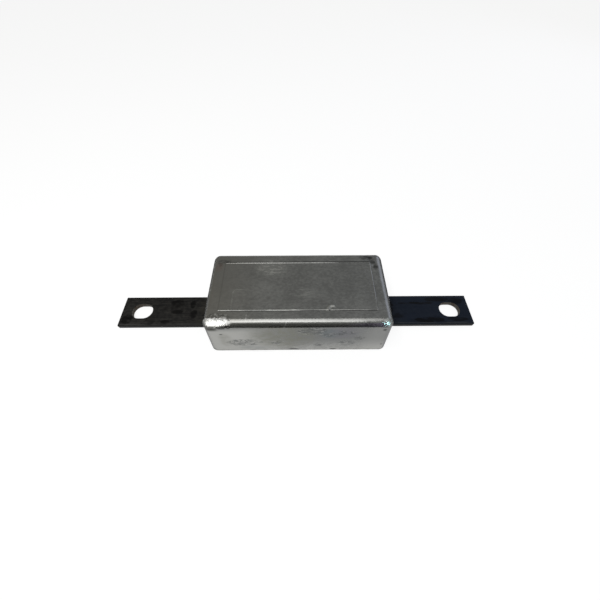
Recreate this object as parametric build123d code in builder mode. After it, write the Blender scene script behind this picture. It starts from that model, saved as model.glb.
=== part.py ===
from build123d import *
import os

# Hull anode: a zinc block cast round one flat steel mounting strap. The strap lies along the
# back of the block, level with its back face, and its two bare ends carry the slots for the
# hull studs. Millimetres. +X runs along the strap and +Z points away from the hull. The
# origin is on the back face, half way between the two slots.

# Zinc block, cast in an open mould and measured at the back face
block_length = 200.0
block_width = 100.0
block_height = 58.0
block_shift = 2.3  # along X, from the middle of the strap to the middle of the block
draft_angle = 3.0  # degrees on all four sides, so that the block leaves the mould
mould_radius = 8.0  # hollow of the mould, down its corners and round its floor
pour_radius = 1.0  # soft edge where the metal met the open rim of the mould

# Fine fin on the outer face, let in by the joint round the plate in the mould's floor
fin_length = 162.0  # between the middles of the fin's two short runs
fin_breadth = 62.0  # between the middles of its two long runs
fin_shift = 0.9  # along Y, from the middle of the block
fin_base = 1.2
fin_height = 0.4
fin_lean = 35.0  # degrees that each flank leans in from upright

# Strap, cut from rolled flat bar
strap_length = 425.0
strap_width = 40.0
strap_thickness = 6.0
strap_arris = 0.5  # rolled edge of the bar

# Slots punched near the two ends of the strap
slot_length = 25.0
slot_width = 20.0
slot_inset = 24.0  # from the end of the strap to the middle of its slot

slot_spacing = strap_length - 2 * slot_inset
back_plane = Plane(origin=(block_shift, 0, 0))
outer_plane = back_plane.offset(block_height)

# Section of the flat bar, shared by the strap and by its bed in the block
with BuildSketch(Plane.YZ) as bar_section:
    with Locations((0, strap_thickness / 2)):
        Rectangle(strap_width, strap_thickness)
    chamfer(bar_section.vertices(), strap_arris)

# Mounting strap: a length of the bar with a slot punched near each end
with BuildPart() as mounting_strap:
    extrude(bar_section.sketch, amount=strap_length / 2, both=True)
    with BuildSketch() as slots:
        with GridLocations(slot_spacing, 0, 2, 1):
            SlotOverall(slot_length, slot_width)
    extrude(amount=strap_thickness, mode=Mode.SUBTRACT)
mounting_strap.part.label = "mounting_strap"

# Anode block: the drafted casting, its soft edges, the fin and the bed that grips the strap
with BuildPart() as anode_block:
    with BuildSketch(back_plane) as footprint:
        Rectangle(block_length, block_width)
    extrude(amount=block_height, taper=draft_angle)
    moulded_edges = anode_block.edges() - anode_block.faces().sort_by(Axis.Z)[0].edges()
    fillet(moulded_edges, mould_radius)
    fillet(anode_block.faces().sort_by(Axis.Z)[0].edges(), pour_radius)

    with BuildSketch(outer_plane) as fin_outline:
        with Locations((0, fin_shift)):
            Rectangle(fin_length + fin_base, fin_breadth + fin_base)
            Rectangle(fin_length - fin_base, fin_breadth - fin_base, mode=Mode.SUBTRACT)
    extrude(amount=fin_height, taper=fin_lean)

    extrude(bar_section.sketch, amount=strap_length / 2, both=True, mode=Mode.SUBTRACT)
anode_block.part.label = "anode_block"

os.makedirs("parts", exist_ok=True)
for piece in (anode_block, mounting_strap):
    export_step(piece.part, f"parts/{piece.part.label}.step")
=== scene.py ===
import math

import bmesh
import bpy
from mathutils import Matrix, Vector, noise


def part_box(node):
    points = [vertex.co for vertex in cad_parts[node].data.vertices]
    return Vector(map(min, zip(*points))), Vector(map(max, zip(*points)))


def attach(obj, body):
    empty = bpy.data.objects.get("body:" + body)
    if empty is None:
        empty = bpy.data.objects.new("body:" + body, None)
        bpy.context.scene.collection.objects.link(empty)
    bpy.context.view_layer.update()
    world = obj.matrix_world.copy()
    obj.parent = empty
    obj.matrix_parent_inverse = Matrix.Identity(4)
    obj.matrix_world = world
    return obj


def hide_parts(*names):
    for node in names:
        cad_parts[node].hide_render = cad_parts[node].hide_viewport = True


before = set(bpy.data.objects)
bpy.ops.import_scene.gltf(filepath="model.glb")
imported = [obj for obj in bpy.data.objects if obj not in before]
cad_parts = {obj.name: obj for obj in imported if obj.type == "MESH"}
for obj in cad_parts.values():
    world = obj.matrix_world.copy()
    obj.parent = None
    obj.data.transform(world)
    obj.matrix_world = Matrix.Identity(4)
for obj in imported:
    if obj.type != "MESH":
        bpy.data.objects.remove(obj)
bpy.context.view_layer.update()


# ---------------------------------------------------------------- mounting strap
# One length of hot-rolled flat bar, black with mill scale. It is sheared to length, so its
# two ends and the walls of its punched slots show cut steel. The zinc is cast round it.

mm = 0.001
strap_low, strap_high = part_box("mounting_strap")
strap_length = (strap_high.x - strap_low.x) / mm
strap_width = (strap_high.y - strap_low.y) / mm
strap_thickness = (strap_high.z - strap_low.z) / mm
slot_length = 25.0
slot_width = 20.0
slot_inset = 24.0  # from the end of the strap to the middle of its slot
slot_centre = strap_length / 2 - slot_inset  # both ways from the middle of the strap
bar_arris = 0.55  # rolled edges along the bar
shear_roll = 0.35  # edge that the shear and the punch drew down
arc_steps = 28  # along each half-round end of a slot
bar_step = 8.5  # along the bar's edges
cut_margin = 0.6  # how far the bare steel reaches in from the sheared ends
arris_sheen_line = 18.3  # from the strap's middle to the painted highlight along its near edge

scale_black = (0.0090, 0.0090, 0.0092, 1)
scale_grey = (0.040, 0.0375, 0.0340, 1)
cool_light_blue = (0.0075, 0.0130, 0.0255, 1)  # painted cool light on the strap's right end
scale_olive = (0.050, 0.048, 0.032, 1)
arris_sheen_grey = (0.085, 0.085, 0.083, 1)
grease_brown = (0.0016, 0.0015, 0.0014, 1)
cut_steel = (0.105, 0.10, 0.09, 1)
rust_brown = (0.07, 0.05, 0.035, 1)

# Greasy marks on the strap's outer side: middle and reach, along and across
grease_marks = [((-147.0, 10.5), (12.0, 7.0)), ((-146.0, -1.5), (9.5, 3.6)),
                ((-157.0, -15.2), (7.5, 3.4)), ((-128.0, 9.0), (4.5, 7.5)),
                ((-125.0, -5.0), (6.0, 8.0)), ((150.0, 9.0), (31.0, 2.6)),
                ((160.0, -14.5), (24.0, 5.0)), ((195.0, -13.5), (18.0, 4.0)),
                ((112.0, 5.0), (11.0, 16.0)), ((-204.0, -11.0), (9.0, 9.0)),
                ((176.0, 14.5), (22.0, 4.5)), ((199.0, 12.0), (12.0, 7.0))]


class Wire:
    """A socket of a material or world, so that shader maths reads as plain sums."""

    def __init__(self, tree, socket=None):
        self.tree = tree
        self.socket = socket

    def node(self, kind, settings=None, values=None, output=0):
        """Add a node: its settings first, then a value or a wire for each of its sockets."""
        made = self.tree.nodes.new(kind)
        for name, setting in (settings or {}).items():
            setattr(made, name, setting)
        for name, value in (values or {}).items():
            if isinstance(value, Wire):
                self.tree.links.new(value.socket, made.inputs[name])
            else:
                made.inputs[name].default_value = value
        return Wire(self.tree, made.outputs[output])

    def math(self, operation, *values):
        return self.node("ShaderNodeMath", {"operation": operation}, dict(enumerate(values)))

    def __add__(self, other):
        return self.math("ADD", self, other)

    def __radd__(self, other):
        return self.math("ADD", other, self)

    def __sub__(self, other):
        return self.math("SUBTRACT", self, other)

    def __rsub__(self, other):
        return self.math("SUBTRACT", other, self)

    def __mul__(self, other):
        return self.math("MULTIPLY", self, other)

    def __rmul__(self, other):
        return self.math("MULTIPLY", other, self)

    def __truediv__(self, other):
        return self.math("DIVIDE", self, other)

    def __pow__(self, other):
        return self.math("POWER", self, other)

    def __abs__(self):
        return self.math("ABSOLUTE", self)

    def larger(self, other):
        return self.math("MAXIMUM", self, other)

    def rise(self, start, end):
        """0 up to start and 1 from end, smooth between; it falls where end is the lower."""
        if start > end:
            return 1 - self.rise(end, start)
        return self.node("ShaderNodeMapRange", {"interpolation_type": "SMOOTHSTEP"},
                         {"Value": self, "From Min": start, "From Max": end})

    def blend(self, first, second):
        """The first colour where this is 0, the second where it is 1."""
        return self.node("ShaderNodeMix", {"data_type": "RGBA"},
                         {"Factor": self, 6: first, 7: second}, output=2)

    def split(self, vector):
        parts = self.node("ShaderNodeSeparateXYZ", values={"Vector": vector})
        outputs = parts.socket.node.outputs
        return [Wire(self.tree, outputs[axis]) for axis in "XYZ"]


class Finish(Wire):
    """A new material, with the places on the piece that its patterns are laid out by."""

    def __init__(self, name):
        self.material = bpy.data.materials.new(name)
        self.material.use_nodes = True
        super().__init__(self.material.node_tree)
        self.shader = self.tree.nodes["Principled BSDF"]
        place = self.node("ShaderNodeTexCoord", output="Object")
        self.place = self.node("ShaderNodeVectorMath", {"operation": "SCALE"},
                               {"Vector": place, "Scale": 1 / mm})  # in millimetres
        self.x, self.y, self.z = self.split(self.place)
        facing = self.node("ShaderNodeNewGeometry", output="Normal")
        self.facing_x, self.facing_y, self.facing_z = self.split(facing)

    def cloud(self, size, detail=2.0, roughness=0.5, stretch=(1, 1, 1), shift=(0, 0, 0)):
        """Cloudy noise of the given size in millimetres, 0 to 1 and about a half."""
        place = self.node("ShaderNodeMapping", {"vector_type": "POINT"},
                          {"Vector": self.place, "Location": shift,
                           "Scale": [1 / (size * part) for part in stretch]})
        return self.node("ShaderNodeTexNoise", {},
                         {"Vector": place, "Scale": 1.0, "Detail": detail,
                          "Roughness": roughness})

    def spot(self, first, second, centre, reach, turn=0.0):
        """An oval spot on two axes: 1 at its centre, 0 from its reach outwards."""
        along = math.cos(turn) * (first - centre[0]) + math.sin(turn) * (second - centre[1])
        across = math.cos(turn) * (second - centre[1]) - math.sin(turn) * (first - centre[0])
        return ((along / reach[0]) ** 2 + (across / reach[1]) ** 2).rise(1.0, 0.0)

    def bump(self, height, depth, normal=None):
        """Relief from a height of 0 to 1, which stands for the given depth in millimetres."""
        values = {"Height": height, "Distance": depth * mm, "Strength": 1.0}
        if normal:
            values["Normal"] = normal
        return self.node("ShaderNodeBump", {}, values)

    def feed(self, sockets):
        """Set the shader's own sockets, or wire them."""
        for name, value in sockets.items():
            socket = self.shader.inputs[name]
            if isinstance(value, Wire):
                self.tree.links.new(value.socket, socket)
            else:
                socket.default_value = value


def strap_outline():
    """The bar's rectangle, with points along its long edges, counter-clockwise."""
    half_length, half_width = strap_length / 2, strap_width / 2
    steps = round(strap_length / bar_step)
    near = [(-half_length + strap_length * i / steps, -half_width) for i in range(steps + 1)]
    return near + [(-x, -y) for x, y in near]


def slot_outline(centre):
    """A stadium-shaped slot, with its long way along the bar."""
    radius = slot_width / 2
    reach = (slot_length - slot_width) / 2
    outline = []
    for side in (1, -1):
        for i in range(arc_steps + 1):
            turn = math.pi * (i / arc_steps - 0.5)
            outline.append((centre + side * (reach + radius * math.cos(turn)),
                            side * radius * math.sin(turn)))
    return outline


def strap_mesh():
    """The outline with its slots, filled, thickened and softened along every edge."""
    bm = bmesh.new()
    for outline in (strap_outline(), slot_outline(-slot_centre), slot_outline(slot_centre)):
        ring = [bm.verts.new((x * mm, y * mm, 0)) for x, y in outline]
        for first, second in zip(ring, ring[1:] + ring[:1]):
            bm.edges.new((first, second))
    bmesh.ops.triangle_fill(bm, use_beauty=True, edges=bm.edges[:])
    flat = bmesh.ops.extrude_face_region(bm, geom=bm.faces[:])["geom"]
    raised = [item for item in flat if isinstance(item, bmesh.types.BMVert)]
    bmesh.ops.translate(bm, verts=raised, vec=(0, 0, strap_thickness * mm))
    bmesh.ops.recalc_face_normals(bm, faces=bm.faces[:])
    rolled, drawn = [], []
    for edge in bm.edges:
        if edge.calc_face_angle(0) < math.radians(60):
            continue
        (a, b) = edge.verts
        along_bar = min(abs(a.co.y), abs(b.co.y)) > (strap_width / 2 - 0.1) * mm
        lower_slot = max(a.co.z, b.co.z) < mm and abs(a.co.y) < (strap_width / 2 - 1) * mm
        if along_bar and abs(a.co.x - b.co.x) > mm:
            rolled.append(edge)
        elif abs(a.co.z - b.co.z) < mm and not lower_slot:
            drawn.append(edge)
    bmesh.ops.bevel(bm, geom=rolled, offset=bar_arris * mm, segments=3, profile=0.5,
                    affect="EDGES", clamp_overlap=True)
    drawn = [edge for edge in drawn if edge.is_valid]
    bmesh.ops.bevel(bm, geom=drawn, offset=shear_roll * mm, segments=3, profile=0.5,
                    affect="EDGES", clamp_overlap=True)
    mesh = bpy.data.meshes.new("flat_bar_strap")
    bm.to_mesh(mesh)
    bm.free()
    mesh.shade_smooth()
    mesh.set_sharp_from_angle(angle=math.radians(35))
    return mesh


def mill_scale():
    """Black mill scale with greasy handling marks, bare and browned where the bar was cut;
    painted cool light on its right end, painted shade on its near side and a painted highlight
    along its near edge.
    """
    steel = Finish("mill_scale_black")
    end_of_bar = abs(steel.x).rise(strap_length / 2 - cut_margin,
                                   strap_length / 2 - cut_margin / 2)
    radius = slot_width / 2
    beyond = (abs(abs(steel.x) - slot_centre) - (slot_length - slot_width) / 2).larger(0)
    from_slot = ((beyond ** 2 + steel.y ** 2) ** 0.5) - radius
    upright = abs(steel.facing_z).rise(0.75, 0.4)
    cut = (from_slot.rise(0.25, 0.1).larger(end_of_bar)) * upright

    patches = steel.cloud(26, 3.0, 0.6, (1.6, 1, 1))
    ragged = steel.cloud(4.5, 4.0, 0.65, (2.4, 1, 1), (3.1, 7.7, 0))
    streaks = steel.cloud(1.8, 2.0, 0.5, (12, 1, 1))
    pores = steel.cloud(0.9, 2.0, 0.6)
    mottle = steel.cloud(3.0, 3.0, 0.6, (1.3, 1, 1), (0.6, 2.2, 5.1))
    grease = steel.cloud(11, 2.0, 0.5, (1.8, 1, 1), (3.1, 7.7, 0)).rise(0.50, 0.68)
    grease = grease * patches.rise(0.35, 0.6) * 0.5
    for middle, reach in grease_marks:
        mark = steel.spot(steel.x, steel.y, middle, reach) * steel.facing_z.rise(0.5, 0.9)
        torn_mark = (mark.rise(0.0, 0.8) + 3.0 * (ragged - 0.60)).larger(0)
        grease = grease.larger(torn_mark * mark.rise(0.0, 0.1))
    grease = grease.rise(0.05, 0.75)
    tone = patches * 0.35 + streaks * 0.3 + mottle * 0.35
    colour = tone.rise(0.38, 0.66).blend(scale_black, scale_grey)
    # Painted cool light: the right end of the strap is painted blue.
    colour = (steel.x.rise(40, 140) * (0.68 + 0.3 * patches)).blend(colour, cool_light_blue)
    beside_zinc = steel.x.rise(-125, -104) * steel.x.rise(-90, -100) * streaks.rise(0.35, 0.6)
    colour = (beside_zinc * 0.6).blend(colour, scale_olive)
    colour = (grease * 0.8).blend(colour, grease_brown)
    # Painted shade: the strap's near side is painted black.
    colour = (steel.facing_y.rise(-0.5, -0.9) * 0.9).blend(colour, scale_black)
    # Painted highlight: a broken pale line along the top of the near edge.
    painted_arris_sheen = abs(steel.y + arris_sheen_line).rise(0.8, 0.2) * steel.facing_z.rise(0.5, 0.9)
    painted_arris_sheen = painted_arris_sheen * streaks.rise(0.3, 0.6)
    colour = (painted_arris_sheen * 0.45).blend(colour, arris_sheen_grey)
    rust = steel.cloud(3.5, 3.0, 0.6).rise(0.42, 0.7)
    colour = cut.blend(colour, rust.blend(cut_steel, rust_brown))
    torn = steel.cloud(1.1, 2.0, 0.6, (1, 1, 0.35))
    relief = steel.bump(patches * 0.5 + streaks * 0.2 + pores * 0.3, 0.10)
    relief = steel.bump(torn * cut, 0.25, relief)
    steel.feed({"Base Color": colour, "Metallic": cut * 0.7, "Normal": relief,
                "Roughness": 0.42 + 0.2 * patches - 0.12 * grease + 0.1 * cut,
                "Specular IOR Level": 0.10})
    return steel.material


strap = bpy.data.objects.new("flat_bar_strap", strap_mesh())
bpy.context.scene.collection.objects.link(strap)
strap.data.materials.append(mill_scale())
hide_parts("mounting_strap")
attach(strap, "root")


# ---------------------------------------------------------------- zinc block
# Zinc poured into an open iron mould over the strap. Its back is the open top of the pour,
# level with the strap; a loose plate in the mould's floor leaves a fin round the outer face.

block_low, block_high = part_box("anode_block")
block_middle = (block_low.x + block_high.x) / 2 / mm
block_length = 200.0
block_width = 100.0
block_height = 58.0
draft = math.radians(3.0)
mould_radius = 8.0
pour_radius = 1.0
fin_length = 162.0
fin_breadth = 62.0
fin_shift = 0.9
fin_height = 0.46
fin_half_base = 0.8  # the fin tails off into the face
fin_far_share = 0.75  # of the near run's strength
fin_right_share = 0.75
fin_left_share = 0.35
second_trace = ((75.5, 22.0), (80.5, -12.0))  # the plate's joint moved between pours
trace_height = 0.22
splash_centre = (37.5, -29.0)
splash_radius = 4.4
splash_width = 1.9
splash_height = 0.5
cell = 1.0  # side of the mesh's squares on the cast faces
back_cell = 1.7
corner_steps = 11
fillet_steps = 12
pour_steps = 3
bed_play = 0.06  # the zinc shrinks this much off the strap
bed_edge = 1.5  # the zinc lies true beside the strap and wanders from here on

zinc_pale = (0.43, 0.43, 0.41, 1)
zinc_mid = (0.40, 0.40, 0.385, 1)
zinc_dark = (0.27, 0.27, 0.26, 1)
zinc_deep_grey = (0.15, 0.155, 0.155, 1)
stain_grey = (0.10, 0.105, 0.105, 1)
corner_shade_grey = (0.085, 0.085, 0.075, 1)
film_blue = (0.13, 0.155, 0.165, 1)
film_olive = (0.20, 0.20, 0.165, 1)
film_lilac = (0.175, 0.17, 0.19, 1)
dirt_and_shade_black = (0.03, 0.03, 0.03, 1)
rust_pink = (0.30, 0.20, 0.175, 1)
grazing_dull = (0.55, 0.55, 0.56, 1)  # oxide keeps the metal from whitening at a glance
scuff_and_sheen_pale = (0.52, 0.52, 0.49, 1)
sand_pale_and_glare = (0.92, 0.92, 0.90, 1)
painted_warm_light_grey = (0.31, 0.30, 0.27, 1)

# Waves in the cast skin: depth and size in millimetres, and a seed for each
skin_waves = ((0.10, 55, 1.3), (0.035, 16, 4.1), (0.010, 4.5, 7.7))
edge_waves = ((0.28, 15, 3.3), (0.10, 5, 9.4))
corner_grain = ((0.10, 3.4, 6.1),)
pour_waves = ((0.30, 24, 8.2), (0.12, 7, 2.2))
rim_waves = ((0.12, 6, 5.9),)
rim_height = 5.0  # of the uneven foot of the walls
pour_grain = 9.0  # across one crystal of the open pour
grainy_corner = ((-83, -44), (19, 9))  # middle and reach

# Small faults in the casting: place, radius and depth, all in millimetres
outer_pits = [(-43.8, 13.2, 0.9, 0.20), (-41.3, 9.1, 0.8, 0.18), (-5.2, -12.1, 0.9, 0.2),
              (32.7, 25.3, 1.1, 0.22), (69.4, 4.2, 0.8, 0.2), (-50.1, -37.0, 0.8, 0.25),
              (43.5, -8.6, 0.8, 0.15), (12.0, 17.5, 0.8, 0.16), (-18.0, -22.0, 0.7, 0.16),
              (58.0, -33.0, 1.0, 0.2)]
corner_hollows = [(-84.5, 32.0, 5.5, 3.2, 0.35), (85.5, 36.0, 5.0, 3.0, 0.40),
                  (88.0, 28.0, 2.6, 3.4, 0.28)]
front_pits = [(-78.5, 38.2, 1.3, 0.8, 0.35), (90.9, 45.8, 1.1, 0.9, 0.4),
              (94.0, 14.3, 1.1, 1.0, 0.4), (-9.0, 46.0, 0.9, 0.7, 0.15),
              (67.0, 28.6, 3.4, 1.0, 0.22), (56.0, 16.0, 5.0, 1.1, 0.18),
              (25.0, 12.6, 3.0, 1.1, 0.16), (-52.0, 19.0, 4.5, 1.4, 0.16)]
# Stains on the near wall and dirt in its rim's notches: middle and reach, along and up
wall_stains = [((-57.0, 20.0), (24.0, 10.0)), ((-22.0, 20.0), (11.0, 5.0)),
               ((17.0, 44.0), (20.0, 9.5)), ((33.0, 37.0), (10.0, 6.0)),
               ((51.0, 39.5), (14.0, 6.5)), ((67.5, 28.8), (8.0, 4.6)),
               ((55.0, 17.0), (12.0, 8.0)), ((25.0, 13.0), (9.0, 4.0))]
rim_dirts = [((-3.0, 3.2), (7.5, 2.2)), ((41.5, 2.8), (5.0, 2.0)), ((-93.0, 3.4), (3.4, 1.8)),
             ((91.0, 46.0), (2.7, 2.4)), ((94.2, 14.3), (1.6, 1.4)),
             ((-78.5, 38.2), (2.4, 1.3))]
# Larger marks, painted sheen and painted shade, given the same way: first on the near wall, along
# and up
painted_sheen_left = ((-92, 25), (96, 75))
painted_sheen_right = ((99, 20), (38, 60))
painted_dark_reflection_middle = ((40, 42), (108, 62))
olive_middle = ((-14, 34), (46, 34))
olive_left = ((-76, 26), (9, 18))
blue_right = ((36, 39), (15, 12))
blue_left = ((-48, 8), (22, 6))
lilac_right = ((50, 40), (20, 16))
gritty_corner = ((-87.5, 54.6), (9.5, 6.6))
gritty_edge = ((-79, 56), (17, 3.8))
pores_left = ((-80, 51.8), (19, 3.6))
pores_right = ((74, 53), (8, 7))
# and then on the outer face, along and across
corner_dirts = [((78.5, 39.0), (7.5, 4.2)), ((84.5, 37.5), (6.0, 4.8)),
                ((86.5, 33.5), (5.4, 7.0)), ((89.5, 25.5), (5.0, 6.0))]
dirt_left = ((-81, 34), (11, 3.6))
dirt_left_end = ((-85, 31), (4, 6))
rust_left = ((-86, 26), (6, 8))
scuffed_patch = ((-27, 24), (22, 15))
flow_marks = ((4, -9), (17, 7))
splash_stroke = ((34.6, -27.8), (6.0, 2.6), math.radians(38))
splash_curl = ((38.8, -26.2), (3.2, 1.8), math.radians(-45))
specks_left = ((-80, -41), (18, 9))
pebbles_right = ((66, -47), (26, 6))
clean_corner = ((93, -45.5), (6.5, 6.5))
rim_notches = [(-3.0, 3.0, 6.0, 1.6, 0.8), (41.5, 2.6, 4.2, 1.3, 0.6),
               (-93.0, 3.0, 3.0, 1.4, 0.5), (94.0, 5.5, 2.6, 1.8, 0.2),
               (-60.0, 1.4, 5.0, 0.9, 0.3), (70.0, 1.4, 4.0, 0.9, 0.3)]


def spaced(low, high, step, fins):
    """Grid lines from low to high, closer together across each fin."""
    across = [-1.5, -1.05, -0.7, -0.35, 0.0, 0.35, 0.7, 1.05, 1.5]
    stops = [low] + [fin + fin_half_base * part for fin in fins for part in across] + [high]
    lines = [stops[0]]
    for stop in stops[1:]:
        start = lines[-1]
        steps = max(1, round((stop - start) / step))
        lines += [start + (stop - start) * i / steps for i in range(1, steps + 1)]
    return lines


def block_ring(inset, z, radius, x_lines, y_lines):
    """One level of the block: its rounded rectangle, counter-clockwise from the near left."""
    half_x = block_length / 2 - inset
    half_y = block_width / 2 - inset
    stretch_x = (half_x - radius) / x_lines[-1]
    stretch_y = (half_y - radius) / y_lines[-1]
    ring = []
    for quarter in range(4):
        side = 1 if quarter < 2 else -1
        if quarter % 2 == 0:
            run = [(side * x * stretch_x, -side * half_y) for x in x_lines]
            centre = (side * (half_x - radius), -side * (half_y - radius))
        else:
            run = [(side * half_x, side * y * stretch_y) for y in y_lines]
            centre = (side * (half_x - radius), side * (half_y - radius))
        ring += [(x, y, z) for x, y in run]
        for i in range(1, corner_steps):
            turn = math.pi / 2 * (quarter - 1 + i / corner_steps)
            ring.append((centre[0] + radius * math.cos(turn),
                         centre[1] + radius * math.sin(turn), z))
    return ring


def block_levels():
    """Inset from the wall's foot, height and corner radius, from outer face to back face."""
    levels = []
    lean = math.pi / 2 - draft
    middle_z = block_height - mould_radius
    middle_in = middle_z * math.tan(draft) + mould_radius / math.cos(draft)
    for i in range(fillet_steps + 1):
        turn = lean * i / fillet_steps
        levels.append((middle_in - mould_radius * math.sin(turn),
                       middle_z + mould_radius * math.cos(turn),
                       mould_radius * math.sin(turn)))
    wall_top = levels[-1][1]
    corner = levels[-1][2]
    foot_in = pour_radius * math.tan(draft) + pour_radius / math.cos(draft)
    wall_foot = pour_radius * (1 + math.cos(lean))
    steps = round((wall_top - wall_foot) / cell)
    for i in range(1, steps + 1):
        z = wall_top + (wall_foot - wall_top) * i / steps
        levels.append((z * math.tan(draft), z, corner))
    for i in range(1, pour_steps + 1):
        turn = lean + (math.pi - lean) * i / pour_steps
        inset = foot_in - pour_radius * math.sin(turn)
        levels.append((inset, pour_radius * (1 + math.cos(turn)), corner - inset))
    inset = levels[-1][0]
    steps = round((corner - inset) / back_cell)
    for i in range(1, steps + 1):
        step_in = inset + (corner - inset) * i / steps
        levels.append((step_in, 0.0, corner - step_in))
    return levels


def block_shell():
    """Grids for the outer and back faces, joined by the rings of the walls and edges."""
    levels = block_levels()
    half_x = block_length / 2 - levels[0][0]
    half_y = block_width / 2 - levels[0][0]
    x_lines = spaced(-half_x, half_x, cell, [-fin_length / 2, fin_length / 2])
    y_lines = spaced(-half_y, half_y, cell,
                     [fin_shift - fin_breadth / 2, fin_shift + fin_breadth / 2])
    points, faces = [], []
    rings = []
    for inset, z, radius in levels:
        ring = block_ring(inset, z, radius, x_lines, y_lines)
        rings.append(range(len(points), len(points) + len(ring)))
        points += ring
    for upper, lower in zip(rings, rings[1:]):
        for i in range(len(upper)):
            j = (i + 1) % len(upper)
            faces.append((upper[i], lower[i], lower[j], upper[j]))
    for inset, z, radius in (levels[0], levels[-1]):
        stretch_x = (block_length / 2 - inset) / x_lines[-1]
        stretch_y = (block_width / 2 - inset) / y_lines[-1]
        start = len(points)
        points += [(x * stretch_x, y * stretch_y, z) for y in y_lines for x in x_lines]
        row = len(x_lines)
        for j in range(len(y_lines) - 1):
            for i in range(row - 1):
                a = start + j * row + i
                face = (a, a + 1, a + row + 1, a + row)
                faces.append(face if z > 0 else face[::-1])
    return points, faces


def ripple(x, y, z, size, seed):
    return noise.noise(Vector((x / size + seed, y / size - seed, z / size + seed / 2)))


def waves(x, y, z, layers):
    """Waves of several sizes on top of each other, each from 0 to its depth."""
    return sum(deep * (0.5 + 0.5 * ripple(x, y, z, size, seed)) for deep, size, seed in layers)


def dent(first, second, centre, radii, depth):
    """A smooth hollow on two axes of a face."""
    distance = math.hypot((first - centre[0]) / radii[0], (second - centre[1]) / radii[1])
    return depth * (1 - distance ** 2) ** 2 if distance < 1 else 0.0


def fin_rise(x, y):
    """Height of the mould joint's fin, uneven along its length and faint on the left."""
    from_x = abs(abs(x) - fin_length / 2)
    from_y = abs(abs(y - fin_shift) - fin_breadth / 2)
    inside_x = abs(x) < fin_length / 2 + fin_half_base
    inside_y = abs(y - fin_shift) < fin_breadth / 2 + fin_half_base
    strength = 0.0
    if from_y < fin_half_base and inside_x:
        near = 1.0 if y < 0 else fin_far_share * min(1.0, max(0.55, (75 - x) / 40))
        patchy = 0.9 + 0.3 * ripple(x, y, 0, 30, 5.3) + 0.1 * ripple(x, y, 0, 6, 9.1)
        strength = near * patchy * math.cos(math.pi / 2 * from_y / fin_half_base) ** 2
    if from_x < fin_half_base and inside_y:
        side = fin_right_share if x > 0 else fin_left_share
        patchy = 0.7 + 0.9 * ripple(x, y, 0, 13, 2.7)
        run = side * patchy * math.cos(math.pi / 2 * from_x / fin_half_base) ** 2
        strength = max(strength, run)
    return fin_height * min(max(strength, 0.0), 1.0)


def from_line(x, y, start, end):
    """Distance of a place from a straight line between two places."""
    run = Vector(end) - Vector(start)
    place = Vector((x, y)) - Vector(start)
    share = min(max(place.dot(run) / run.length_squared, 0.0), 1.0)
    return (place - run * share).length


def risen(x, y):
    """What stands up from the outer face: the fin, its second trace and a small splash."""
    height = fin_rise(x - block_middle, y)
    trace = from_line(x, y, *second_trace)
    if trace < fin_half_base:
        patchy = 0.6 + 0.8 * ripple(x, y, 0, 8, 4.4)
        rounding = math.cos(math.pi / 2 * trace / fin_half_base) ** 2
        height = max(height, trace_height * patchy * rounding)
    off_x, off_y = x - splash_centre[0], y - splash_centre[1]
    off = abs(math.hypot(off_x, off_y) - splash_radius)
    turn = math.degrees(math.atan2(off_y, off_x))
    if off < splash_width and (turn > 50 or turn < -150):
        height = max(height, splash_height * math.cos(math.pi / 2 * off / splash_width) ** 2)
    return height


def sunk(x, y, z, facing):
    """How far the cast surface lies inside the mould's true shape at a place."""
    depth = waves(x, y, z, skin_waves)
    on_edge = max(0.0, 1 - abs(facing.z - 0.55) / 0.5)
    if facing.z > 0.05:
        depth += on_edge * waves(x, y, z, edge_waves)
    (grain_x, grain_y), (reach_x, reach_y) = grainy_corner
    grain = math.hypot((x - grain_x) / reach_x, (y - grain_y) / reach_y)
    if grain < 1 and facing.z > -0.2:
        depth += (1 - grain ** 2) * waves(x, y, z, corner_grain)
    if facing.z > 0.8:
        for px, py, radius, deep in outer_pits:
            depth += dent(x, y, (px, py), (radius, radius), deep)
        for px, py, radius_x, radius_y, deep in corner_hollows:
            depth += dent(x, y, (px, py), (radius_x, radius_y), deep)
    if facing.y < -0.8 or (y < -45 and z < 3):
        for px, pz, radius_x, radius_z, deep in front_pits + rim_notches:
            depth += dent(x, z, (px, pz), (radius_x, radius_z), deep)
    if facing.z < -0.5:
        depth += waves(x, y, 0, pour_waves)
    elif z < rim_height and abs(facing.z) < 0.6:
        depth += (1 - z / rim_height) * waves(x, y, 0, rim_waves)
    return depth


def true_shape():
    """The shell as one mesh, before the faults of the casting."""
    points, faces = block_shell()
    mesh = bpy.data.meshes.new("zinc_block")
    mesh.from_pydata([(x * mm, y * mm, z * mm) for x, y, z in points], [], faces)
    bm = bmesh.new()
    bm.from_mesh(mesh)
    bmesh.ops.remove_doubles(bm, verts=bm.verts[:], dist=0.002 * mm)
    bm.to_mesh(mesh)
    bm.free()
    return mesh


def as_cast(mesh):
    """Sinks and fins the surface as the casting came out; the strap's bed stays true."""
    bm = bmesh.new()
    bm.from_mesh(mesh)
    bmesh.ops.translate(bm, verts=bm.verts[:], vec=(block_middle * mm, 0, 0))
    bm.normal_update()
    facings = [vert.normal.copy() for vert in bm.verts]
    for vert, facing in zip(bm.verts, facings):
        x, y, z = vert.co / mm
        from_bed = math.hypot(max(0, abs(y) - strap_width / 2 - bed_play),
                              max(0, z - strap_thickness - bed_play))
        move = -facing * sunk(x, y, z, facing) * min(1.0, from_bed / bed_edge)
        if z > block_height - 0.01:
            move.z += risen(x, y)
        vert.co += move * mm
    bm.to_mesh(mesh)
    bm.free()


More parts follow.
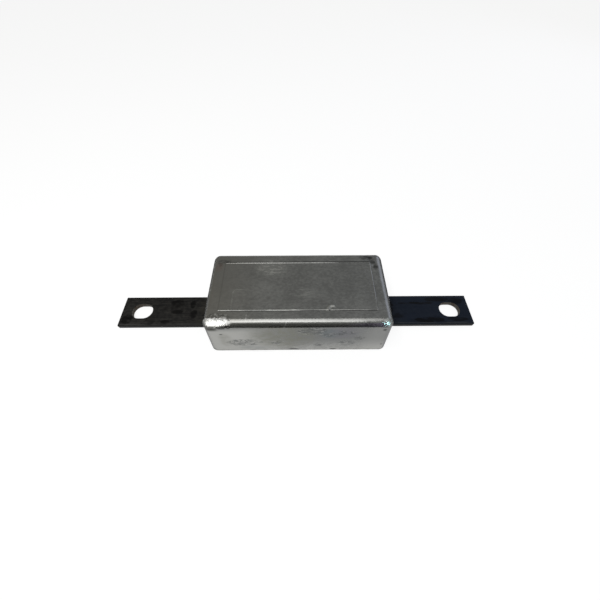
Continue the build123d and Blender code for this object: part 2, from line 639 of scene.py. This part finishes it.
def bed_cutter():
    """A bar a little larger than the strap, longer than the block and open at the back."""
    half_x = block_length
    half_y = strap_width / 2 + bed_play
    top = strap_thickness + bed_play
    arris = bar_arris
    section = [(-half_y, -1.0), (half_y, -1.0), (half_y, top - arris), (half_y - arris, top),
               (arris - half_y, top), (-half_y, top - arris)]
    bm = bmesh.new()
    ends = [[bm.verts.new((x * mm, y * mm, z * mm)) for y, z in section]
            for x in (-half_x, half_x)]
    bm.faces.new(ends[0][::-1])
    bm.faces.new(ends[1])
    for i in range(len(section)):
        j = (i + 1) % len(section)
        bm.faces.new((ends[0][i], ends[0][j], ends[1][j], ends[1][i]))
    bmesh.ops.recalc_face_normals(bm, faces=bm.faces[:])
    mesh = bpy.data.meshes.new("strap_bed")
    bm.to_mesh(mesh)
    bm.free()
    return bpy.data.objects.new("strap_bed", mesh)


def cast_zinc():
    """Dull cast zinc: soft grey mottling, rough where the mould's coat failed, and stains;
    painted sheen, shade, highlights and warm light in places.
    """
    zinc = Finish("cast_zinc_grey")
    x, y, z = zinc.x, zinc.y, zinc.z
    outer = zinc.facing_z.rise(0.8, 0.95)
    front = zinc.facing_y.rise(-0.8, -0.95)
    back = zinc.facing_z.rise(-0.7, -0.95)
    walls = abs(zinc.facing_z).rise(0.6, 0.3)

    mottle = zinc.cloud(38, 3.0, 0.55)
    smudge = zinc.cloud(9, 3.0, 0.6, (1.5, 1, 1), (5.0, 1.0, 2.0))
    grain = zinc.cloud(1.6, 3.0, 0.6)
    fine = zinc.cloud(2.2, 3.0, 0.6, (1.5, 1, 1), (2.0, 9.0, 4.0))
    tone = mottle * 0.30 + smudge * 0.22 + fine * 0.48
    colour = tone.rise(0.35, 0.65).blend(zinc_dark, zinc_mid)
    # Painted warm light on the left end of the block.
    colour = (x.rise(-30, -95) * (0.55 + 0.4 * fine)).blend(colour, painted_warm_light_grey)
    ends = abs(zinc.facing_x).rise(0.25, 0.7)
    worn = zinc.facing_z.rise(0.15, 0.4) * zinc.facing_z.rise(0.97, 0.85) * (1 - ends)
    colour = (ends * (0.45 + 0.5 * mottle)).blend(colour, zinc_deep_grey)
    # Painted sheen: the near wall is paler at its left and at its right, and every wall is paler
    # along its foot; the worn rounded edges are paler too.
    painted_foot_sheen = z.rise(4.5, 1.5) * walls
    left = zinc.spot(x, z, *painted_sheen_left) * front
    right = zinc.spot(x, z, *painted_sheen_right) * front
    pale = (painted_foot_sheen * 0.6).larger(left * 0.95).larger(right * 0.85).larger(worn)
    colour = pale.blend(colour, zinc_pale)

    # Stains lie in ragged patches on the walls, most of all on the near one
    ragged = zinc.cloud(3.4, 4.0, 0.7, (2.0, 1, 1), (1.7, 3.0, 0.4))
    # Painted dark reflection across the middle of the near wall, growing toward its top and
    # weaker at its two ends.
    painted_dark_reflection = zinc.spot(x, z, *painted_dark_reflection_middle).rise(0.0, 0.75) * z.rise(-2, 32) * front
    painted_dark_reflection = painted_dark_reflection * (0.70 + 0.35 * mottle + 0.25 * fine)
    painted_dark_reflection = painted_dark_reflection * (1 - 0.26 * x.rise(55, 85)) * (1 - 0.3 * x.rise(5, -30))
    colour = (painted_dark_reflection * 0.78).blend(colour, zinc_deep_grey)
    wash = zinc.cloud(6.0, 3.0, 0.6, (1.6, 1, 1), (4.0, 7.0, 1.0)).rise(0.40, 0.60)
    olive = zinc.spot(x, z, *olive_middle).larger(zinc.spot(x, z, *olive_left) * 0.6)
    colour = (olive * front * (0.3 + 0.4 * wash)).blend(colour, film_olive)
    blue = zinc.spot(x, z, *blue_right).larger(zinc.spot(x, z, *blue_left) * 0.4)
    colour = (blue * front * (0.35 + 0.4 * wash)).blend(colour, film_blue)
    lilac = zinc.spot(x, z, *lilac_right)
    colour = (lilac * front * (0.3 + 0.3 * wash)).blend(colour, film_lilac)
    # Painted shade: the outer face is darker toward its far left, and the near wall darker along
    # its top at the left.
    painted_shade_far_left = outer * x.rise(-25, -90) * y.rise(-20, 30)
    colour = (painted_shade_far_left * 0.45).blend(colour, zinc_dark)
    shaded_top = z.rise(42, 50) * x.rise(-20, -70) * front
    colour = (shaded_top * 0.45).blend(colour, zinc_deep_grey)
    patch = walls * (1 - front) * mottle.rise(0.42, 0.62)
    for centre, reach in wall_stains:
        patch = patch.larger(zinc.spot(x, z, centre, reach) * front)
    stain = (ragged + 0.2 * (patch - 1)).rise(0.40, 0.54) * patch.rise(0.0, 0.25)
    curl = zinc.cloud(4.2, 2.5, 0.55, (1.9, 1, 1), (8.0, 2.0, 5.0))
    tide = abs(curl - 0.5).rise(0.045, 0.010) * patch.rise(0.15, 0.5)
    stain = (stain * (0.18 + 0.30 * front)).larger(tide * (0.20 + 0.50 * front))
    colour = stain.blend(colour, stain_grey)
    dried = abs(curl - 0.575).rise(0.030, 0.005) * patch.rise(0.15, 0.5) * front
    # Painted contact shade: a ragged dark line along the foot of the walls; the spots are dirt in
    # the rim's notches and pits.
    foot_shade_and_dirt = (z.rise(3.2, 0.6) * ragged.rise(0.45, 0.62)) * walls
    for centre, reach in rim_dirts:
        foot_shade_and_dirt = foot_shade_and_dirt.larger(zinc.spot(x, z, centre, reach) * y.rise(-40, -46))
    colour = (foot_shade_and_dirt * 0.8).blend(colour, dirt_and_shade_black)

    # The outer face: dirt in the far corners, a scuffed patch and faint flow marks
    dirt = zinc.spot(x, y, *dirt_left).larger(zinc.spot(x, y, *dirt_left_end))
    for centre, reach in corner_dirts:
        dirt = dirt.larger(zinc.spot(x, y, centre, reach))
    broken = (dirt + 2.2 * (ragged - 0.56)).rise(0.0, 1.2) * dirt.rise(0.0, 0.3)
    colour = (broken * outer * (0.62 + 0.25 * x.rise(-10, 10))).blend(colour, dirt_and_shade_black)
    from_long = abs(abs(y - fin_shift) - fin_breadth / 2 - fin_half_base)
    along_long = abs(x - block_middle).rise(fin_length / 2 + 1, fin_length / 2 - 1)
    from_short = abs(abs(x - block_middle) - fin_length / 2 - fin_half_base)
    along_short = abs(y - fin_shift).rise(fin_breadth / 2 + 1, fin_breadth / 2 - 1)
    # Painted shade: a dark line along the outer foot of the fin, faint beside its short runs.
    foot = (from_long.rise(0.9, 0.3) * along_long).larger(
        from_short.rise(0.9, 0.3) * along_short * 0.2)
    foot = foot * outer * (0.45 + 0.55 * smudge.rise(0.25, 0.55))
    colour = (foot * 0.9).blend(colour, dirt_and_shade_black)
    # Painted highlight along the crest of the fin's right short run.
    painted_crest_sheen = abs(abs(x - block_middle) - fin_length / 2).rise(0.9, 0.2) * along_short * outer
    painted_crest_sheen = painted_crest_sheen * x.rise(-10, 10) * mottle.rise(0.3, 0.6)
    tint = zinc.spot(x, y, *rust_left) * outer * 0.3
    colour = tint.blend(colour, rust_pink)
    scuffed = zinc.spot(x, y, *scuffed_patch) * outer
    scuffed = scuffed * (0.35 + zinc.cloud(2.4, 3.0, 0.6, (2.5, 1, 1)).rise(0.5, 0.62))
    flow = zinc.spot(x, y, *flow_marks) * zinc.cloud(1.5, 1.0, 0.5, (10, 1, 1)).rise(
        0.52, 0.62) * outer
    bend_x, bend_y, bend_radius = -66.5, -4.6, 4.5
    bend = ((bend_x + bend_radius - x).larger(0) ** 2
            + (y - bend_y + bend_radius).larger(0) ** 2) ** 0.5
    arc = abs(bend - bend_radius).rise(1.1, 0.2) * x.rise(-51, -59) * y.rise(-31, -24) * outer
    arc = arc * (0.3 + fine.rise(0.35, 0.65))
    splash = zinc.spot(x, y, *splash_stroke).larger(
        zinc.spot(x, y, *splash_curl) * 0.7) * outer
    flecks = zinc.cloud(3.0, 2.0, 0.6).rise(0.55, 0.61) * (
        x.rise(-88, -94) * (zinc.facing_x + 1).rise(0.05, 0.25) * zinc.facing_y.rise(-1.0, -0.9))
    # The pale marks include that painted highlight.
    marks = (scuffed * 0.8).larger(flow * 0.6).larger(arc * 0.35).larger(splash * 0.8)
    marks = marks.larger(painted_crest_sheen * 0.35)
    marks = marks.larger(flecks * 0.8).larger(dried * 0.30)
    colour = marks.blend(colour, scuff_and_sheen_pale)

    # The back is the open top of the pour, with large crystals
    open_pour = zinc.node("ShaderNodeTexVoronoi", {"feature": "SMOOTH_F1"},
                          {"Vector": zinc.place, "Scale": 1 / pour_grain, "Smoothness": 0.4})
    colour = (back * open_pour.rise(0.2, 0.9) * 0.5).blend(colour, zinc_dark)

    roughness = 0.21 + 0.05 * mottle + 0.06 * (smudge - 0.5) + 0.10 * marks + 0.12 * stain
    roughness = roughness - 0.04 * worn + 0.12 * pale * walls + 0.22 * back + 0.1 * dirt * outer

    # The near left corner came out gritty, with specks and pores round it. Its white patch is the
    # pale grit with a painted highlight on it, and the corner's left end and the rounding under
    # the patch are painted shade.
    coarse = zinc.spot(x, z, *gritty_corner).larger(
        zinc.spot(x, z, *gritty_edge)) * y.rise(-37, -42)
    painted_corner_shade = x.rise(-89.5, -92.0).larger(z.rise(54.5, 53.0) * x.rise(-78, -84))
    painted_corner_shade = painted_corner_shade * y.rise(-38, -44) * z.rise(44, 48)
    colour = (painted_corner_shade * 0.85).blend(colour, corner_shade_grey)
    specked = zinc.spot(x, y, *specks_left) * outer
    sandy = zinc.cloud(2.1, 3.0, 0.75)
    grit_and_painted_highlight = (coarse.rise(0.05, 0.6) + 1.2 * (sandy - 0.5)).rise(0.15, 0.75)
    grit_and_painted_highlight = grit_and_painted_highlight * coarse.rise(0.0, 0.15) * (1 - 0.85 * painted_corner_shade)
    colour = (grit_and_painted_highlight * 0.85).blend(colour, sand_pale_and_glare)
    pores = zinc.spot(x, z, *pores_left) * y.rise(-43, -46)
    pores = pores.rise(0.0, 0.35) * (1 - 0.7 * coarse.rise(0.3, 0.8))
    pores = pores.larger(zinc.spot(x, z, *pores_right) * y.rise(-40, -44) * 0.6)
    pores = pores.larger(specked.rise(0.0, 0.5) * 0.55) * sandy.rise(0.54, 0.44)
    colour = (pores * 0.9).blend(colour, dirt_and_shade_black)
    # Pale specks: the grit's own colour with painted glints.
    colour = (specked.rise(0.0, 0.5) * sandy.rise(0.54, 0.62) * 0.6).blend(colour, sand_pale_and_glare)

    # Two knocks on the near edge, and what all of it does to the polish and the relief
    scratch = abs((x + 11) - 0.5 * (z - 54)).rise(0.8, 0.1)
    scratch = scratch * abs(z - 54).rise(3.6, 1.5) * zinc.y.rise(-38, -40)
    tick = abs(x + 50).rise(0.6, 0.1) * abs(y + 38).rise(4.5, 2.5) * outer
    scratched = (scratch * 0.4).larger(tick * 0.25)
    colour = scratched.blend(colour, sand_pale_and_glare)
    roughness = roughness + 0.34 * coarse.rise(0.0, 0.5) + 0.3 * scratched
    glinting = zinc.spot(x, y, *clean_corner).rise(0.0, 0.5) * z.rise(48, 53)
    roughness = roughness - 0.05 * x.rise(45, 70) * worn + 0.30 * glinting
    relief = zinc.bump(mottle * 0.6 + smudge * 0.4, 0.06)
    relief = zinc.bump(grain, 0.018, relief)
    pebbled = (coarse * 0.06).larger(zinc.spot(x, y, *pebbles_right) * 0.25)
    relief = zinc.bump(sandy * pebbled.larger(specked * 0.35), 0.8, relief)
    relief = zinc.bump(open_pour * back, 0.35, relief)
    zinc.feed({"Base Color": colour, "Roughness": roughness, "Normal": relief,
               "Metallic": 1.0, "Specular Tint": grazing_dull})
    return zinc.material


block = bpy.data.objects.new("zinc_block", true_shape())
bpy.context.scene.collection.objects.link(block)
cutter = bed_cutter()
bpy.context.scene.collection.objects.link(cutter)
bed = block.modifiers.new("strap_bed", "BOOLEAN")
bed.operation = "DIFFERENCE"
bed.solver = "EXACT"
bed.object = cutter
cast = bpy.data.meshes.new_from_object(block.evaluated_get(bpy.context.evaluated_depsgraph_get()))
block.modifiers.clear()
block.data = cast
cutter_mesh = cutter.data
bpy.data.objects.remove(cutter)
bpy.data.meshes.remove(cutter_mesh)
as_cast(cast)
cast.shade_smooth()
cast.set_sharp_from_angle(angle=math.radians(45))
cast.materials.clear()
cast.materials.append(cast_zinc())
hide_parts("anode_block")
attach(block, "root")


# ---------------------------------------------------------------- floor
# A plain white table top, large enough to fill the frame. It shows near white to the
# camera and in the metal, still takes the object's shadow, and is clear from below.

floor_half = 3.0
floor_drop = 0.2  # millimetres below the back of the anode
floor_white = (0.9, 0.9, 0.9, 1)
seen_share = 0.30  # of the white that the lamps have to light
glow_share = 0.82  # of the white that shows without them


def white_table():
    table = Finish("white_table")
    table.feed({"Base Color": floor_white, "Roughness": 0.9, "Specular IOR Level": 0.1})
    lit = Wire(table.tree, table.shader.outputs[0])
    seen = [table.node("ShaderNodeLightPath", output=kind)
            for kind in ("Is Camera Ray", "Is Glossy Ray", "Is Transmission Ray")]
    shaded = table.node("ShaderNodeBsdfDiffuse", {},
                        {"Color": (seen_share, seen_share, seen_share, 1)})
    glow = table.node("ShaderNodeEmission", {}, {"Strength": glow_share})
    pale = table.node("ShaderNodeAddShader", {}, {0: shaded, 1: glow})
    mixed = table.node("ShaderNodeMixShader", {},
                       {0: seen[0].larger(seen[1]).larger(seen[2]), 1: lit, 2: pale})
    clear = table.node("ShaderNodeBsdfTransparent")
    from_below = table.node("ShaderNodeNewGeometry", output="Backfacing")
    mixed = table.node("ShaderNodeMixShader", {}, {0: from_below, 1: mixed, 2: clear})
    ending = table.tree.nodes["Material Output"]
    table.tree.links.new(mixed.socket, ending.inputs["Surface"])
    return table.material


def plain_sheet(name, corners, material):
    mesh = bpy.data.meshes.new(name)
    mesh.from_pydata(corners, [], [(0, 1, 2, 3)])
    mesh.materials.append(material)
    sheet = bpy.data.objects.new(name, mesh)
    bpy.context.scene.collection.objects.link(sheet)
    return sheet


plain_sheet("floor", [(x * floor_half, y * floor_half, -floor_drop * mm)
                      for x, y in ((-1, -1), (1, -1), (1, 1), (-1, 1))], white_table())


# ---------------------------------------------------------------- studio light
# A large soft box overhead, a dim grey room and a narrow beam on each near corner. Cards
# and cloths that only the metal shows give the rounded edges their dark lines.

room_warm = (1.0, 0.985, 0.925, 1)  # toward -X
room_cool = (0.94, 0.98, 1.0, 1)
room_level = 0.298

room = bpy.data.worlds.new("room")
bpy.context.scene.world = room
room.use_nodes = True
walls = Wire(room.node_tree)
toward_x = walls.split(walls.node("ShaderNodeTexCoord", output="Generated"))[0]
walls_seen = room.node_tree.nodes["Background"]
room.node_tree.links.new(toward_x.rise(-0.7, 0.7).blend(room_warm, room_cool).socket,
                         walls_seen.inputs["Color"])
walls_seen.inputs["Strength"].default_value = room_level


def soft_lamp(name, place, aim, width, depth, power, colour):
    lamp = bpy.data.lights.new(name, "AREA")
    lamp.shape = "RECTANGLE"
    lamp.size = width
    lamp.size_y = depth
    lamp.energy = power
    lamp.color = colour
    holder = bpy.data.objects.new(name, lamp)
    bpy.context.scene.collection.objects.link(holder)
    holder.location = place
    holder.visible_camera = False
    holder.rotation_euler = (Vector(aim) - Vector(place)).to_track_quat("-Z", "Y").to_euler()


# The soft box is made of panes, brighter toward the front, with one bright strip on the left.
# For each: middle along X, width, near side, far side and strength.
soft_box_height = 1.10
panes = {"left_back": (-0.17, 0.64, -0.26, 0.14, 1.32),
         "left_front": (-0.17, 0.64, -0.88, -0.26, 1.7),
         "right_back": (0.265, 0.23, -0.26, 0.14, 1.04),
         "right_front": (0.265, 0.23, -0.88, -0.26, 1.26),
         "strip": (-0.42, 0.14, -0.80, 0.06, 6.8)}
for name, (middle, width, near, far, strength) in panes.items():
    place = (middle, (near + far) / 2, soft_box_height)
    depth = far - near
    soft_lamp("overhead_" + name, place, (place[0], place[1], 0), width, depth,
              math.pi * width * depth * strength, (1, 1, 1))
soft_lamp("sky", (0.95, 0.62, 0.60), (0.1, 0.0, 0.05), 0.9, 0.7, 1.0, (0.75, 0.80, 1.0))


def glint_lamp(name, place, aim, radius, cone, power, colour):
    """A narrow beam that falls on one corner of the block and nowhere else."""
    lamp = bpy.data.lights.new(name, "SPOT")
    lamp.shadow_soft_size = radius
    lamp.spot_size = math.radians(cone)
    lamp.spot_blend = 1.0
    lamp.energy = power
    lamp.color = colour
    holder = bpy.data.objects.new(name, lamp)
    bpy.context.scene.collection.objects.link(holder)
    holder.location = place
    holder.visible_camera = False
    holder.visible_diffuse = False
    holder.rotation_euler = (Vector(aim) - Vector(place)).to_track_quat("-Z", "Y").to_euler()


glint_lamp("right_glint", (0.214, -0.308, 0.146), (0.0940, -0.0449, 0.0556), 0.004, 2.1, 2.5,
           (0.50, 0.92, 1.0))
glint_lamp("left_glint", (-0.235, -0.423, 0.346), (-0.0828, -0.0450, 0.0570), 0.006, 2.6, 11.0,
           (1.0, 1.0, 0.98))

# The flag lies on the table and ends in a dark card close to the rounded edge
flag_grey = (0.21, 0.21, 0.195, 1)
flag_lilac = (0.46, 0.46, 0.51, 1)
flag_cloth = Finish("flag_cloth")
flag_cloth.feed({"Base Color": flag_cloth.x.rise(85, 260).blend(flag_grey, flag_lilac),
                 "Roughness": 1.0, "Specular IOR Level": 0.0,
                 "Alpha": flag_cloth.y.rise(-90, -185)})
card = Finish("card_grey")
card_grey = (0.40, 0.40, 0.38, 1)
card_lilac = (0.66, 0.60, 0.78, 1)
card.feed({"Base Color": card.x.rise(40, 94).blend(card_grey, card_lilac), "Roughness": 1.0,
           "Specular IOR Level": 0.0})
side_warm = (0.36, 0.36, 0.34, 1)
side_navy = (0.13, 0.135, 0.19, 1)
side_cloth = Finish("side_cloth")
side_cloth.feed({"Base Color": side_cloth.x.rise(-60, 60).blend(side_warm, side_navy),
                 "Roughness": 1.0, "Specular IOR Level": 0.0,
                 "Alpha": abs(side_cloth.x).rise(420, 300)})
flags = {"flag_on_table": ([(-0.19, -0.085, 0.002), (0.36, -0.085, 0.002), (0.36, -0.42, 0.002),
                            (-0.19, -0.42, 0.002)], flag_cloth),
         "card_by_edge": ([(-0.087, -0.054, 0.046), (0.0935, -0.054, 0.046),
                           (0.0935, -0.054, 0.0612), (-0.087, -0.054, 0.0612)], card),
         "left_cloth": ([(-0.13, 0.03, 0.001), (-0.43, 0.03, 0.001), (-0.43, 0.42, 0.001),
                         (-0.13, 0.42, 0.001)], side_cloth),
         "right_cloth": ([(0.13, 0.03, 0.001), (0.43, 0.03, 0.001), (0.43, 0.42, 0.001),
                          (0.13, 0.42, 0.001)], side_cloth)}
for name, (corners, cloth) in flags.items():
    sheet = plain_sheet(name, corners, cloth.material)
    sheet.visible_camera = False
    sheet.visible_shadow = False
    sheet.visible_diffuse = False


# ---------------------------------------------------------------- camera
# Held above the near side and looking steeply down, with a wide lens.

camera_place = (2.6, -176.6, 307.0)
camera_dip = math.radians(57.56)
camera_turn = math.radians(0.59)
camera_roll = math.radians(0.15)
camera_lens = 17.04
sensor_width = 36.0

camera = bpy.data.cameras.new("camera")
camera.lens = camera_lens
camera.sensor_width = sensor_width
camera.clip_start = 10 * mm
stand = bpy.data.objects.new("camera", camera)
bpy.context.scene.collection.objects.link(stand)
ahead = Vector((math.sin(camera_turn) * math.cos(camera_dip),
                math.cos(camera_turn) * math.cos(camera_dip), -math.sin(camera_dip)))
aside = Vector((math.cos(camera_turn), -math.sin(camera_turn), 0))
above = aside.cross(ahead)
level = aside * math.cos(camera_roll) + above * math.sin(camera_roll)
upright = above * math.cos(camera_roll) - aside * math.sin(camera_roll)
pose = Matrix((level, upright, -ahead)).transposed().to_4x4()
pose.translation = Vector(camera_place) * mm
stand.matrix_world = pose
bpy.context.scene.camera = stand
bpy.context.scene.view_settings.view_transform = "Standard"
